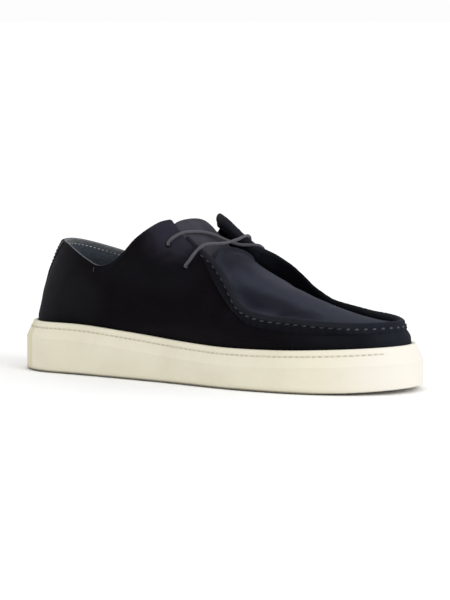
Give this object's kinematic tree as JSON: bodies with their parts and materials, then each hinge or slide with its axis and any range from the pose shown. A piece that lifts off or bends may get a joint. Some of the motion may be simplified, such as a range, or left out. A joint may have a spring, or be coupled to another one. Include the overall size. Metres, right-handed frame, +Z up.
{
  "type": "sneaker",
  "caption": "Low lace-up shoe: hollow suede upper with a raised moccasin seam round the toe, short tongue and a thick stitched cup sole.",
  "frame": {"origin": "on the floor, under the middle of the outsole's bounding box", "axes": "+X points to the toe, +Y to the medial side, +Z up"},
  "size_m": [0.3, 0.1076, 0.1075],
  "materials": {
    "sole_rubber": "matt off-white",
    "insole_fabric": "blue-grey lining",
    "upper_suede": "dark navy suede",
    "tongue_suede": "dark navy suede",
    "lace_cord": "charcoal braided cord"
  },
  "bodies": {
    "root": {"cup_sole": "sole_rubber", "insole": "insole_fabric", "upper": "upper_suede", "tongue": "tongue_suede", "lace": "lace_cord"}
  },
  "joints": []
}
